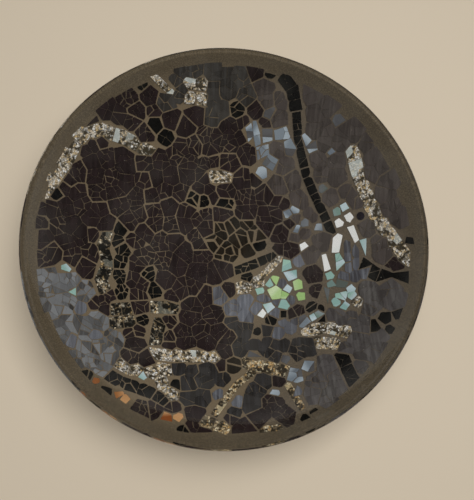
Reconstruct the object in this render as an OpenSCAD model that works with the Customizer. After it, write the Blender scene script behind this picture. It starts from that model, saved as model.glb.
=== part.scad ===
// Decorative glass bowl: a clear blank with a mosaic of broken glass on its outside.
// The origin is the centre of the base, on the surface that the bowl stands on, and +Z is up.
// The mosaic is laid out on the unrolled bed: a point's distance from the middle is its
// distance along the wall, so that tesserae keep their size from the floor to the rim.

/* [Bowl] */
// Outer diameter of the rim
rim_d = 305; // [270:5:340]
// Height of the rim above the table
bowl_h = 76; // [70:1:88]
// Diameter of the flat part of the floor
base_d = 80; // [60:2:96]
// Inside radius of the curve between the floor and the wall
heel_r = 80; // [60:2:90]
// Thickness of the glass
glass_wall = 4; // [3:0.5:6]

/* [Mosaic] */
// Thickness of the clear adhesive film behind the mosaic
film_t = 0.5; // [0.3:0.1:1]
// Thickness of a tessera
tessera_t = 3; // [2:0.25:4]
// Usual distance between the middles of neighbouring tesserae
pitch = 14; // [12:0.5:16]
// Width of the cracks inside one broken tile
crack_w = 0.6; // [0.5:0.1:1]
// Width of the grout joint between two tiles
joint_w = 1.6; // [1.2:0.1:2.4]
// Least length of a tessera's edge
least_edge = 1.4; // [1:0.1:2]
// Least area of a tessera, in square millimetres
least_area = 9; // [6:1:14]
// Clearance between a tessera and the adhesive film
bed_gap = 0.05; // [0.02:0.01:0.1]
// Distance from the lip to the edge of the mosaic, along the wall
rim_band = 13; // [10:0.5:18]
// How far the edge of the mosaic wanders to each side
band_wander = 2; // [0:0.5:3]
// Radius of the round dark cabochon
cabochon_r = 3.4; // [2.8:0.1:4]
// Seed of the scatter of the tesserae
scatter_seed = 11; // [1:1:60]

/* [Bands] */
// Width of the long black stripe
stripe_w = 7.5; // [6:0.5:10]
// Width of the short black bar
bar_w = 11; // [9:0.5:13]
// Width of the other runs of black shards
black_run_w = 11; // [9:0.5:13]
// Width of the two foil swooshes
swoosh_w = 11; // [9:0.5:13]
// Width of the foil bands at the front
foil_band_w = 10; // [8:0.5:12]
// Width of the thin foil lines
foil_line_w = 5; // [4:0.5:7]
// Width of the long iridescent slivers
sliver_w = 5; // [4:0.5:6]
// Width of the broad iridescent slivers
broad_sliver_w = 7.5; // [6:0.5:9]

/* [Grout] */
// How far the grout in the joints lies below the tesserae
joint_recess = 0.3; // [0.1:0.1:0.6]
// Thickness of the flat foot of grout below the tesserae of the base
foot_skim = 1; // [0.8:0.1:1.6]
// Bare glass between the grout and the lip, along the wall
bare_lip = 3; // [2:0.5:5]

/* [Hidden] */
$fn = 96;

// One overrun serves every cut
overrun = 1.5;
rim_r = rim_d / 2;
base_r = base_d / 2;
// Layers, as distances outwards from the inside of the bowl
glass_out = glass_wall;
bed_out = glass_out + film_t;
grout_out = bed_out + tessera_t - joint_recess;
floor_z = bed_out + tessera_t + foot_skim;
bed_z = floor_z - bed_out;

// The wall is part of a sphere that is tangent to the heel curve and ends in the rounded lip
lip_r = glass_wall / 2;
lip_x = rim_r - lip_r;
lip_z = bowl_h - lip_r;
heel_z = floor_z + heel_r;
heel_span = lip_r + heel_r;
wall_fix = ((lip_x^2 - base_r^2 + lip_z^2 - heel_z^2) / heel_span - lip_r + heel_r) / 2;
wall_lean = -(lip_z - heel_z) / heel_span;
square_term = 1 - wall_lean^2;
line_term = heel_z + (wall_fix - heel_r) * wall_lean;
fixed_term = base_r^2 + heel_z^2 - (wall_fix - heel_r)^2;
wall_z = (line_term + sqrt(line_term^2 - square_term * fixed_term)) / square_term;
wall_r = wall_fix + wall_lean * wall_z;
turn_a = asin(base_r / (wall_r - heel_r));
lip_a = atan2(lip_x, wall_z - lip_z);
reach = 2 * wall_r;

// The bed is the face of the film that the tesserae lie on
bed_heel_r = heel_r + bed_out;
bed_wall_r = wall_r + bed_out;
radian = 180 / PI;
turn_x = base_r + bed_heel_r * sin(turn_a);
turn_way = base_r + bed_heel_r * turn_a / radian;
lip_way = turn_way + bed_wall_r * (lip_a - turn_a) / radian;
edge_way = lip_way - rim_band;
grout_a = lip_a - bare_lip / bed_wall_r * radian;

// Point of the bed at a distance along it from the middle: radius, height and slope
function bed_at(way) =
    way < base_r ? [way, bed_z, 0]
    : way < turn_way
        ? let (a = (way - base_r) / bed_heel_r * radian)
            [base_r + bed_heel_r * sin(a), heel_z - bed_heel_r * cos(a), a]
    : let (a = turn_a + (way - turn_way) / bed_wall_r * radian)
        [bed_wall_r * sin(a), wall_z - bed_wall_r * cos(a), a];

// Distance along the bed to a radius seen from above
function way_to(r) =
    r < base_r ? r
    : r < turn_x ? base_r + bed_heel_r * asin((r - base_r) / bed_heel_r) / radian
    : turn_way + bed_wall_r * (asin(min(r, rim_r) / bed_wall_r) - turn_a) / radian;

// Unrolled place of a point that is given as seen from above, in shares of the rim's radius
function unrolled(share) =
    let (r = norm(share) * rim_r, a = atan2(share[1], share[0]))
        min(way_to(r), edge_way) * [cos(a), sin(a)];

// Runs of tesserae: node, width, and the run's path as seen from above.
// Each point is an x and y share of the rim's radius, with +X right and +Y to the back.
run_shares = [
    ["black_stripe", black_run_w, [[0.29, 0.90], [0.35, 0.84], [0.38, 0.75]]],
    ["black_stripe", stripe_w, [[0.38, 0.75], [0.40, 0.63], [0.43, 0.52], [0.46, 0.42], [0.50, 0.33],
        [0.55, 0.22], [0.59, 0.12]]],
    ["black_bar", bar_w, [[0.59, -0.55], [0.61, -0.63], [0.65, -0.73]]],
    ["black_left_tesserae", black_run_w, [[-0.55, 0.15], [-0.60, 0.07], [-0.55, -0.02], [-0.59, -0.11],
        [-0.54, -0.19], [-0.57, -0.27]]],
    ["black_left_tesserae", black_run_w, [[-0.43, -0.09], [-0.41, -0.17], [-0.37, -0.25]]],
    ["black_front_tesserae", black_run_w, [[-0.60, -0.65], [-0.52, -0.70], [-0.43, -0.73], [-0.36, -0.76],
        [-0.29, -0.81]]],
    ["black_right_tesserae", black_run_w, [[0.73, -0.08], [0.80, -0.15], [0.92, -0.18]]],
    ["black_centre_tesserae", stripe_w, [[0.09, -0.09], [0.19, -0.05], [0.29, -0.01]]],
    ["foil_left_swoosh", swoosh_w, [[-0.92, 0.24], [-0.87, 0.33], [-0.82, 0.42], [-0.78, 0.51],
        [-0.73, 0.57], [-0.65, 0.595], [-0.55, 0.585], [-0.47, 0.56], [-0.41, 0.53]]],
    ["foil_right_swoosh", swoosh_w, [[0.68, 0.52], [0.71, 0.42], [0.75, 0.31], [0.79, 0.20], [0.84, 0.10],
        [0.89, 0.00], [0.93, -0.09]]],
    ["foil_front_band", foil_band_w, [[-0.38, -0.56], [-0.28, -0.57], [-0.15, -0.575], [-0.03, -0.58]]],
    ["foil_front_band", foil_band_w, [[-0.55, -0.60], [-0.49, -0.64], [-0.42, -0.64], [-0.34, -0.67],
        [-0.31, -0.73], [-0.24, -0.78]]],
    ["foil_front_band", foil_band_w, [[-0.36, -0.63], [-0.27, -0.65]]],
    ["foil_column", foil_band_w, [[-0.63, 0.09], [-0.66, 0.00], [-0.63, -0.09], [-0.66, -0.17],
        [-0.63, -0.25]]],
    ["foil_column", foil_band_w, [[-0.60, -0.33], [-0.50, -0.32]]],
    ["foil_column", foil_band_w, [[-0.58, -0.40], [-0.49, -0.39]]],
    ["foil_column", foil_band_w, [[-0.38, -0.31], [-0.28, -0.31]]],
    ["foil_column", foil_band_w, [[-0.35, -0.39], [-0.37, -0.50]]],
    ["foil_right_patch", foil_band_w, [[0.44, -0.44], [0.54, -0.42], [0.64, -0.45]]],
    ["foil_right_patch", foil_band_w, [[0.47, -0.50], [0.58, -0.51]]],
    ["foil_centre_patch", foil_band_w, [[0.07, -0.20], [0.15, -0.18], [0.23, -0.14]]],
    ["foil_centre_patch", foil_line_w, [[0.24, -0.10], [0.31, -0.03]]],
    ["foil_back_patch", foil_band_w, [[-0.22, 0.87], [-0.12, 0.87]]],
    ["foil_back_patch", foil_band_w, [[-0.22, 0.81], [-0.12, 0.81]]],
    ["foil_back_patch", foil_line_w, [[-0.38, 0.87], [-0.30, 0.82]]],
    ["foil_back_patch", foil_band_w, [[-0.08, 0.44], [0.02, 0.44]]],
    ["foil_front_lines", foil_line_w, [[0.14, -0.66], [0.06, -0.72], [0.00, -0.79], [-0.05, -0.85]]],
    ["foil_front_lines", foil_band_w, [[-0.12, -0.88], [0.00, -0.92]]],
    ["foil_front_lines", foil_band_w, [[0.11, -0.61], [0.21, -0.63], [0.32, -0.65]]],
    ["foil_front_lines", foil_line_w, [[0.32, -0.72], [0.37, -0.82]]],
    ["foil_front_lines", foil_line_w, [[0.18, -0.92], [0.26, -0.92]]],
    ["mirror_tesserae", broad_sliver_w, [[0.625, 0.08], [0.618, 0.00]]],
    ["mirror_tesserae", sliver_w, [[0.69, 0.12], [0.712, 0.045]]],
    ["mirror_tesserae", sliver_w, [[0.552, -0.035], [0.568, -0.10]]],
    ["mint_tesserae", broad_sliver_w, [[0.632, -0.02], [0.635, -0.10]]],
    ["mint_tesserae", sliver_w, [[0.745, 0.05], [0.742, -0.03]]],
    ["mint_tesserae", sliver_w, [[0.557, -0.215], [0.56, -0.27]]],
    ["mint_tesserae", sliver_w, [[0.47, -0.37], [0.53, -0.335]]],
    ["lilac_tesserae", sliver_w, [[0.67, 0.04], [0.672, -0.12]]],
    ["lilac_tesserae", sliver_w, [[0.71, 0.02], [0.708, -0.11]]],
    ["ice_blue_tesserae", sliver_w, [[0.125, 0.70], [0.145, 0.63]]],
    ["ice_blue_tesserae", sliver_w, [[0.17, 0.69], [0.18, 0.61]]]
];

// Single tesserae: node, size as a share of the usual pitch, and places like those of the runs
spot_shares = [
    ["mirror_tesserae", 0.4, [[0.45, 0.037], [0.68, 0.18], [0.63, 0.155], [0.21, -0.335]]],
    ["mint_tesserae", 0.6, [[0.345, -0.065], [0.375, -0.12], [0.635, -0.185], [0.63, -0.25], [0.33, -0.29],
        [0.25, -0.305]]],
    ["mint_tesserae", 0.4, [[0.585, -0.185], [0.675, -0.215], [0.60, -0.285], [0.64, -0.305], [0.68, -0.25],
        [0.58, -0.135], [0.355, -0.20], [0.255, -0.165], [0.62, 0.22], [0.66, 0.24], [0.48, 0.43],
        [0.545, 0.35], [-0.42, -0.67], [-0.78, -0.25], [-0.82, -0.13], [0.20, -0.21]]],
    ["green_tesserae", 0.8, [[0.285, -0.225]]],
    ["green_tesserae", 0.5, [[0.41, -0.18]]],
    ["green_tesserae", 0.4, [[0.285, -0.15], [0.425, -0.245], [0.335, -0.235]]],
    ["ice_blue_tesserae", 0.8, [[0.22, 0.65], [0.21, 0.57], [0.31, 0.65], [0.36, 0.58], [0.26, 0.52],
        [0.36, -0.67]]],
    ["ice_blue_tesserae", 0.6, [[0.48, 0.57], [0.21, 0.46], [0.24, 0.75], [0.44, 0.61], [0.60, 0.67],
        [0.16, -0.57], [0.43, -0.625], [0.43, -0.385]]],
    ["ice_blue_tesserae", 0.4, [[0.58, 0.54], [0.36, 0.23], [0.40, 0.25], [0.455, 0.17], [0.41, 0.14],
        [0.25, -0.76], [0.32, -0.59], [0.53, 0.14], [0.63, -0.215]]],
    ["lilac_tesserae", 0.8, [[0.12, -0.27], [0.05, -0.31], [0.12, -0.36], [0.75, -0.12], [-0.03, -0.24]]],
    ["lilac_tesserae", 0.6, [[0.18, -0.31], [0.28, -0.34], [0.29, -0.45], [0.36, -0.42], [-0.74, -0.33],
        [-0.66, -0.47], [-0.76, -0.50], [0.06, -0.80], [-0.03, -0.77], [0.42, -0.04], [0.65, -0.145],
        [0.70, -0.145], [0.35, -0.75]]],
    ["lilac_tesserae", 0.4, [[0.325, -0.17], [0.37, -0.265], [0.24, -0.26], [0.29, -0.275], [0.385, -0.385],
        [0.21, -0.25], [0.32, -0.39], [0.595, -0.06]]],
    ["amber_tesserae", 0.5, [[-0.29, -0.865]]],
    ["amber_tesserae", 0.4, [[-0.235, -0.865], [-0.49, -0.775], [-0.52, -0.755]]],
    ["amber_tesserae", 0.3, [[-0.63, -0.69]]],
    ["black_back_tesserae", 0.8, [[-0.39, 0.67], [-0.33, 0.62], [-0.18, 0.31], [0.00, 0.29],
        [0.06, 0.77]]],
    ["black_front_tesserae", 0.6, [[-0.30, -0.905], [-0.21, -0.925], [-0.68, -0.67], [-0.58, -0.745],
        [-0.25, -0.72]]],
    ["black_back_tesserae", 0.6, [[-0.45, 0.83], [-0.87, 0.24], [-0.12, 0.30], [0.23, 0.92]]],
    ["black_centre_tesserae", 0.6, [[-0.44, -0.38], [0.20, 0.05], [0.13, -0.13], [0.48, -0.31],
        [0.26, -0.375]]],
    ["black_centre_tesserae", 0.4, [[0.325, -0.345], [0.52, -0.32], [0.18, -0.44]]],
    ["black_right_tesserae", 0.6, [[0.76, -0.42], [0.81, -0.38], [0.865, -0.36]]],
    ["black_right_tesserae", 0.4, [[0.94, 0.01], [0.52, -0.375], [0.38, -0.87], [0.82, -0.44],
        [0.44, -0.87]]],
    ["foil_right_patch", 0.5, [[0.70, -0.29]]],
    ["umber_tesserae", 0.8, [[0.045, -0.62]]]
];

// Patches of colour in the field: node, middle and radius, as shares of the rim's radius
patch_shares = [
    ["umber_tesserae", [0.06, 0.07], 0.14],
    ["smoke_left_tesserae", [-0.86, -0.26], 0.13],
    ["smoke_left_tesserae", [-0.74, -0.46], 0.17],
    ["smoke_left_tesserae", [-0.68, -0.62], 0.12],
    ["smoke_front_tesserae", [-0.14, -0.69], 0.12],
    ["smoke_front_tesserae", [0.08, -0.74], 0.13],
    ["smoke_front_tesserae", [0.12, -0.36], 0.12],
    ["smoke_front_tesserae", [0.20, -0.52], 0.14],
    ["smoke_front_tesserae", [0.40, -0.50], 0.13],
    ["smoke_right_tesserae", [0.70, -0.36], 0.24],
    ["smoke_right_tesserae", [0.58, -0.68], 0.22],
    ["smoke_back_tesserae", [-0.26, 0.88], 0.15],
    ["smoke_back_tesserae", [0.00, 0.88], 0.16],
    ["mauve_tesserae", [0.28, 0.82], 0.12],
    ["mauve_tesserae", [0.32, 0.63], 0.12],
    ["mauve_tesserae", [0.44, 0.42], 0.16],
    ["mauve_tesserae", [0.50, 0.10], 0.14],
    ["mauve_tesserae", [0.48, 0.76], 0.16],
    ["mauve_tesserae", [0.66, 0.48], 0.30],
    ["mauve_tesserae", [0.82, 0.16], 0.24],
    ["mauve_tesserae", [0.68, 0.02], 0.12]
];
cabochon_share = [0.735, 0.18];

// Large broken sheets, laid whole: middle and radius, as shares of the rim's radius
sheet_shares = [
    [[-0.24, 0.44], 0.20],
    [[-0.20, 0.20], 0.16],
    [[-0.32, -0.08], 0.18],
    [[-0.04, 0.68], 0.12],
    [[0.24, 0.30], 0.18],
    [[0.44, 0.30], 0.12],
    [[0.44, 0.04], 0.13],
    [[0.60, 0.58], 0.20],
    [[-0.78, 0.12], 0.16],
    [[-0.56, 0.36], 0.12],
    [[-0.62, 0.72], 0.10],
    [[-0.05, -0.46], 0.16],
    [[-0.35, 0.76], 0.10],
    [[0.84, 0.22], 0.12]
];

// Golden angle, which spaces points on a spiral evenly
golden_a = 180 * (3 - sqrt(5));
// Shares of the pitch and of a tessera's radius that set the scatter and the outlines
scatter_share = 0.3;
field_keep_share = 0.82;
filler_keep_share = 1;
filler_share = 0.55;
least_run_share = 0.72;
outline_share = 1.35;
field_outline_share = 1.8;
outline_wobble_share = 0.12;
tile_share = 2.8;
outline_sides = 9;
field_r = pitch / 2;

// Points of an even spiral over the mosaic, each scattered a little
function spiral(step, seed) =
    let (
        count = ceil((edge_way / step)^2 * PI),
        wobble = rands(-scatter_share, scatter_share, 2 * count, seed)
    )
    [for (k = [0 : count - 1])
        edge_way * sqrt((k + 0.5) / count) * [cos(k * golden_a), sin(k * golden_a)]
            + step * [wobble[2 * k], wobble[2 * k + 1]]];

// A site is where a tessera goes: unrolled place, radius, node, and a run's direction and width
function run_sites(run) =
    let (path = [for (p = run[2]) unrolled(p)], step = max(run[1], field_r * outline_share))
    [for (i = [0 : len(path) - 2])
        let (way = path[i + 1] - path[i], count = max(1, round(norm(way) / step)))
        for (j = [0 : count - 1])
            [path[i] + way * (j + 0.5) / count, max(run[1] / 2, field_r * least_run_share), run[0],
                way / norm(way), run[1]]];

placed_sites = concat(
    [[unrolled(cabochon_share), cabochon_r + joint_w / 2, "dark_cabochon", undef, 0]],
    [for (run = run_shares) each run_sites(run)],
    [for (spot = spot_shares) for (p = spot[2])
        [unrolled(p), spot[1] * field_r, spot[0], undef, 0]]
);

// Node of a tessera in the field between the placed ones
function field_node(p) =
    let (
        seen = bed_at(norm(p))[0] / rim_r * p / max(norm(p), least_edge),
        found = [for (patch = patch_shares) if (norm(seen - patch[1]) < patch[2]) patch[0]]
    )
    len(found) > 0 ? found[0] : norm(p) < turn_way ? "aubergine_floor_tesserae" : "aubergine_wall_tesserae";

// A place is free where no site of a list comes too near to a tessera of a radius
function is_free(p, r, taken, keep) =
    norm(p) < edge_way
    && min([for (s = taken) norm(p - s[0]) / (s[1] + r)]) > keep;

function free_sites(step, seed, r, taken, keep) =
    [for (p = spiral(step, seed)) if (is_free(p, r, taken, keep)) [p, r, field_node(p), undef, 0]];

// The field fills the mosaic round the placed tesserae, and small ones fill what it leaves bare
field_sites = free_sites(pitch, scatter_seed, field_r, placed_sites, field_keep_share);
filler_sites = free_sites(
    pitch * filler_share, scatter_seed + 2, field_r * filler_share, concat(placed_sites, field_sites),
    filler_keep_share
);
sites = concat(placed_sites, field_sites, filler_sites);

// Neighbouring sites of one glass that share the nearest tile belong to one broken tile
tiles = concat(
    [for (p = spiral(pitch * tile_share, scatter_seed + 1)) [p, 0]],
    [for (sheet = sheet_shares) [unrolled(sheet[0]), sheet[1] * rim_r]]
);
function nearest(p, tiles) =
    let (gaps = [for (tile = tiles) norm(p - tile[0]) - tile[1]]) search(min(gaps), gaps)[0];
site_tile = [for (s = sites) nearest(s[0], tiles)];

// The aubergine glass is the same on the floor and on the wall
function glass_of(name) = name == "aubergine_floor_tesserae" ? "aubergine_wall_tesserae" : name;

// Part of a convex outline on the near side of a line: way * point <= limit
function cut_outline(outline, way, limit) =
    [for (i = [0 : 1 : len(outline) - 1])
        let (
            p = outline[i],
            q = outline[(i + 1) % len(outline)],
            p_room = limit - p * way,
            q_room = limit - q * way
        )
        each concat(
            p_room >= 0 ? [p] : [],
            p_room * q_room < 0 ? [p + (q - p) * p_room / (p_room - q_room)] : []
        )];

function cut_by_all(outline, lines, i = 0) =
    i == len(lines) || len(outline) < 3 ? outline
    : cut_by_all(cut_outline(outline, lines[i][0], lines[i][1]), lines, i + 1);

// Lines that bound a tessera, seen from its own site
function bounds_of(k) =
    let (site = sites[k], p = site[0], r = site[1])
    concat(
        [for (j = [0 : len(sites) - 1])
            let (way = sites[j][0] - p, gap = norm(way))
            if (j != k && gap < 2 * pitch)
                let (
                    one_tile = glass_of(sites[j][2]) == glass_of(site[2]) && site_tile[j] == site_tile[k],
                    split = gap / 2 + (r^2 - sites[j][1]^2) / (2 * gap)
                )
                [way / gap, split - (one_tile ? crack_w : joint_w) / 2]],
        [[p / max(norm(p), least_edge), edge_way - norm(p) + band_wander * sin(k * golden_a)]],
        is_undef(site[3]) ? []
            : [for (side = [-1, 1]) [side * [-site[3][1], site[3][0]], site[4] / 2]]
    );

// Rough round outline that a tessera is cut from
function blank_outline(k) =
    let (
        least = 1 - outline_wobble_share,
        wobble = rands(least, 2 - least, outline_sides + 1, scatter_seed + k),
        long = max(sites[k][1], sites[k][3] == undef ? 0 : field_r),
        share = k < len(placed_sites) ? outline_share : field_outline_share
    )
    [for (i = [0 : outline_sides - 1])
        let (a = (i + wobble[outline_sides]) * 360 / outline_sides)
            long * share * wobble[i] * [cos(a), sin(a)]];

function without_short_edges(outline) =
    [for (i = [0 : 1 : len(outline) - 1])
        if (norm(outline[i] - outline[(i + 1) % len(outline)]) > least_edge) outline[i]];

function area_of(outline) =
    len(outline) < 3 ? 0
    : abs([for (i = [0 : len(outline) - 1]) cross(outline[i], outline[(i + 1) % len(outline)])]
        * [for (p = outline) 1]) / 2;

// The outline from the unrolled bed, laid on the plane that touches the bed at the site
function laid(k, outline) =
    let (p = sites[k][0], here = bed_at(norm(p)), a = atan2(p[1], p[0]))
    [for (v = outline)
        let (
            q = p + v,
            there = bed_at(norm(q)),
            turn = atan2(q[1], q[0]) - a,
            out = there[0] * cos(turn) - here[0],
            up = there[1] - here[1]
        )
        [-cos(here[2]) * out - sin(here[2]) * up, there[0] * sin(turn)]];

function outline_of(k) = laid(k, without_short_edges(cut_by_all(blank_outline(k), bounds_of(k))));

// Carries a drawing to a site of the mosaic, with its Z axis square to the bed and outwards
module at_site(k) {
    p = sites[k][0];
    here = bed_at(norm(p));
    rotate([0, 0, atan2(p[1], p[0])])
        translate([here[0], 0, here[1]])
            rotate([0, 180 - here[2], 0])
                children();
}

// Tesserae of one node, from one height above the bed to another
module tesserae(name, low, high) {
    for (k = [0 : len(sites) - 1]) {
        if (name == "all" ? sites[k][2] != "dark_cabochon" : sites[k][2] == name) {
            outline = outline_of(k);
            if (area_of(outline) > least_area)
                at_site(k)
                    translate([0, 0, low])
                        linear_extrude(height = high - low)
                            polygon(outline);
        }
    }
}

module tessera_group(name) {
    tesserae(name, bed_gap, bed_gap + tessera_t);
}

// Half section of the space inside the bowl, grown outwards by a distance
module grown_inside(out) {
    turn_z = wall_z - (wall_r + out) * cos(turn_a);
    intersection() {
        union() {
            intersection() {
                translate([0, wall_z])
                    circle(r = wall_r + out);
                translate([0, turn_z])
                    square([reach, reach]);
            }
            translate([base_r, heel_z])
                circle(r = heel_r + out);
            translate([0, floor_z - out])
                square([base_r, heel_r + out]);
        }
        translate([0, floor_z - reach])
            square([reach, 2 * reach]);
    }
}

// Half section of everything below a slope angle, seen from the middle of the wall's sphere
module below_slope(a) {
    thirds = 3;
    polygon(concat(
        [[0, wall_z]],
        [for (i = [0 : thirds]) [reach * sin(a * i / thirds), wall_z - reach * cos(a * i / thirds)]]
    ));
}

module layer_section(inner, outer, a) {
    intersection() {
        difference() {
            grown_inside(outer);
            grown_inside(inner);
        }
        below_slope(a);
    }
}

module glass_bowl() {
    color("#c9d6d2", 0.35)
        rotate_extrude()
            union() {
                layer_section(0, glass_out, lip_a);
                translate([lip_x, lip_z])
                    circle(r = lip_r);
            }
}

module adhesive_film() {
    color("#e9e4d4", 0.5)
        rotate_extrude()
            layer_section(glass_out, bed_out, grout_a);
}

module grout_section() {
    edge_r = (grout_out - bed_out) / 2;
    edge_mid = wall_r + bed_out + edge_r;
    difference() {
        union() {
            layer_section(bed_out, grout_out, grout_a);
            translate([edge_mid * sin(grout_a), wall_z - edge_mid * cos(grout_a)])
                circle(r = edge_r);
            square([base_r, bed_z]);
        }
        grown_inside(bed_out);
    }
}

module cabochon_outline() {
    circle(r = cabochon_r);
}

module grout() {
    color("#5d5240")
        difference() {
            rotate_extrude()
                grout_section();
            tesserae("all", -overrun, bed_gap + tessera_t);
            at_site(0)
                translate([0, 0, -overrun])
                    linear_extrude(height = tessera_t + 2 * overrun)
                        cabochon_outline();
        }
}

// Flat-backed round glass, with its flat on the film and its dome outwards
module dark_cabochon() {
    dome_r = 2 * cabochon_r;
    color("#231a2b")
        at_site(0)
            translate([0, 0, bed_gap])
                intersection() {
                    linear_extrude(height = tessera_t)
                        cabochon_outline();
                    translate([0, 0, tessera_t - dome_r])
                        sphere(r = dome_r);
                }
}

module aubergine_floor_tesserae() {
    color("#33282b") tessera_group("aubergine_floor_tesserae");
}

module aubergine_wall_tesserae() {
    color("#3a2f33") tessera_group("aubergine_wall_tesserae");
}

module umber_tesserae() {
    color("#2c2219") tessera_group("umber_tesserae");
}

module smoke_left_tesserae() {
    color("#565a64") tessera_group("smoke_left_tesserae");
}

module smoke_front_tesserae() {
    color("#454a52") tessera_group("smoke_front_tesserae");
}

module smoke_right_tesserae() {
    color("#55525a") tessera_group("smoke_right_tesserae");
}

module smoke_back_tesserae() {
    color("#474b50") tessera_group("smoke_back_tesserae");
}

module mauve_tesserae() {
    color("#4a4341") tessera_group("mauve_tesserae");
}

module lilac_tesserae() {
    color("#7b7f92") tessera_group("lilac_tesserae");
}

module black_stripe() {
    color("#060606") tessera_group("black_stripe");
}

module black_bar() {
    color("#060606") tessera_group("black_bar");
}

module black_left_tesserae() {
    color("#080808") tessera_group("black_left_tesserae");
}

module black_front_tesserae() {
    color("#080808") tessera_group("black_front_tesserae");
}

module black_right_tesserae() {
    color("#080808") tessera_group("black_right_tesserae");
}

module black_centre_tesserae() {
    color("#0a0906") tessera_group("black_centre_tesserae");
}

module black_back_tesserae() {
    color("#080808") tessera_group("black_back_tesserae");
}

module foil_left_swoosh() {
    color("#b9b3a2") tessera_group("foil_left_swoosh");
}

module foil_right_swoosh() {
    color("#a9a59a") tessera_group("foil_right_swoosh");
}

module foil_front_band() {
    color("#c4b898") tessera_group("foil_front_band");
}

module foil_column() {
    color("#8d8873") tessera_group("foil_column");
}

module foil_right_patch() {
    color("#b7ad93") tessera_group("foil_right_patch");
}

module foil_centre_patch() {
    color("#a7a9ae") tessera_group("foil_centre_patch");
}

module foil_back_patch() {
    color("#a8a595") tessera_group("foil_back_patch");
}

module foil_front_lines() {
    color("#b09c73") tessera_group("foil_front_lines");
}

module mirror_tesserae() {
    color("#f2f4f2") tessera_group("mirror_tesserae");
}

module mint_tesserae() {
    color("#9ccabc") tessera_group("mint_tesserae");
}

module green_tesserae() {
    color("#a0d08c") tessera_group("green_tesserae");
}

module ice_blue_tesserae() {
    color("#8ea3b4") tessera_group("ice_blue_tesserae");
}

module amber_tesserae() {
    color("#b8672a") tessera_group("amber_tesserae");
}

glass_bowl();
adhesive_film();
grout();
aubergine_floor_tesserae();
aubergine_wall_tesserae();
umber_tesserae();
smoke_left_tesserae();
smoke_front_tesserae();
smoke_right_tesserae();
smoke_back_tesserae();
mauve_tesserae();
lilac_tesserae();
black_stripe();
black_bar();
black_left_tesserae();
black_front_tesserae();
black_right_tesserae();
black_centre_tesserae();
black_back_tesserae();
foil_left_swoosh();
foil_right_swoosh();
foil_front_band();
foil_column();
foil_right_patch();
foil_centre_patch();
foil_back_patch();
foil_front_lines();
mirror_tesserae();
mint_tesserae();
green_tesserae();
ice_blue_tesserae();
amber_tesserae();
dark_cabochon();
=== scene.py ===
# Decorative glass bowl: a clear blank with a mosaic of broken glass on its outside, set in grout.
# Looking down into the bowl, +X is to the right and +Y is to the back.
import math
import random

import bpy
from mathutils import Matrix, Vector


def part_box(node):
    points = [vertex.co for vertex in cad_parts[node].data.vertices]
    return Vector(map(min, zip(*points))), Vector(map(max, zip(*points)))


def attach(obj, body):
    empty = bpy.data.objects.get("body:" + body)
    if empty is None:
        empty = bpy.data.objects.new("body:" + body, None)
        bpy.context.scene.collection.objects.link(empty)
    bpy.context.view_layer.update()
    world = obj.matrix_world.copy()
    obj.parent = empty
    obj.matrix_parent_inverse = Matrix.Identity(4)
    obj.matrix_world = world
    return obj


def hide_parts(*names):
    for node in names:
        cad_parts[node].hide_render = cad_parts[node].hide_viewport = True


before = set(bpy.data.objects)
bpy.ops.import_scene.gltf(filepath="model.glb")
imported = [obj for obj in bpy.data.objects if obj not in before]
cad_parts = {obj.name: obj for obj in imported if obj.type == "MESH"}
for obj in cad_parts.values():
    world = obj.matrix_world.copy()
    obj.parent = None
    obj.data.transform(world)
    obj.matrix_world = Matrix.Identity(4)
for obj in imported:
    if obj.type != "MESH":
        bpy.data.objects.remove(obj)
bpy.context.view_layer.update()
MM = 0.001

# Sizes of the bowl, in metres, the same as the frame's
GLASS = 4 * MM
FILM = 0.5 * MM
TESSERA = 3 * MM
BED_GAP = 0.05 * MM
JOINT_RECESS = 0.3 * MM
BARE_LIP = 3 * MM
BASE_R = 40 * MM
HEEL_R = 80 * MM
RIM_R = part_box("glass_bowl")[1].x
RIM_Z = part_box("glass_bowl")[1].z
FLOOR_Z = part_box("glass_bowl")[0].z + GLASS
BED_OUT = GLASS + FILM
GROUT_OUT = BED_OUT + TESSERA - JOINT_RECESS
LIP_R = GLASS / 2
LIP_X = RIM_R - LIP_R
LIP_Z = RIM_Z - LIP_R
HEEL_Z = FLOOR_Z + HEEL_R

# Turned pieces
LATHE_STEPS = 192
ARC_STEP = 2 * MM
LEAST_ARC_STEPS = 12
FILM_CLEARANCE = 0.04 * MM
# The grout lies this far behind the bed, so that it doesn't cut through the crumbs
GROUT_BEHIND = 0.7 * MM
WELD = 0.002 * MM
FLAT_ANGLE = math.radians(1)
SMOOTH_ANGLE = math.radians(30)

# A tessera's outline grows before it is broken, which narrows its joints. Shards of two tesserae
# in one broken tile then overlap, by up to 0.6 mm with their waver.
CRUMB_GROWTH = 0.15 * MM
SHARD_GROWTH = 0.45 * MM
# Groups that lean more than the first tilt are shards, and more than the second are angular chips
CRUMB_TILT = 0.01
SHARD_TILT = 0.02
# Shares of a group's crumb size and crack width that its tesserae differ by
SIZE_SPREAD = (0.8, 1.4)
CRACK_SPREAD = (0.1, 1.6)
# Each crack takes this share of its width from either side
HALF_CRACK_SHARE = (0.2, 0.8)
# A crumb with less area than a square of this side is left out
LEAST_CRUMB = 1.1 * MM
# The crumbs of a tessera are drawn out one way: at 1 not at all, and at this value the most
LEAST_STRETCH = 0.45
SEED_TRIES = 5
# Softening of a crumb's corners and long edges. Where a crack is narrower than the waver, the
# crumbs on its two sides overlap, by up to 0.36 mm.
CRUMB_ROUNDING = 0.55 * MM
SHARD_ROUNDING = 0.3 * MM
ROUNDING_SPREAD = (0.3, 1)
MOST_ROUNDED = 0.3
CRUMB_WAVER = 0.2 * MM
WAVER_SPAN = 2.6 * MM
CRUMB_BEVEL = 0.12 * MM
# A chip keeps a corner each time its outline has turned by between these angles
SHARD_TURN = (math.radians(35), math.radians(62))
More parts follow.
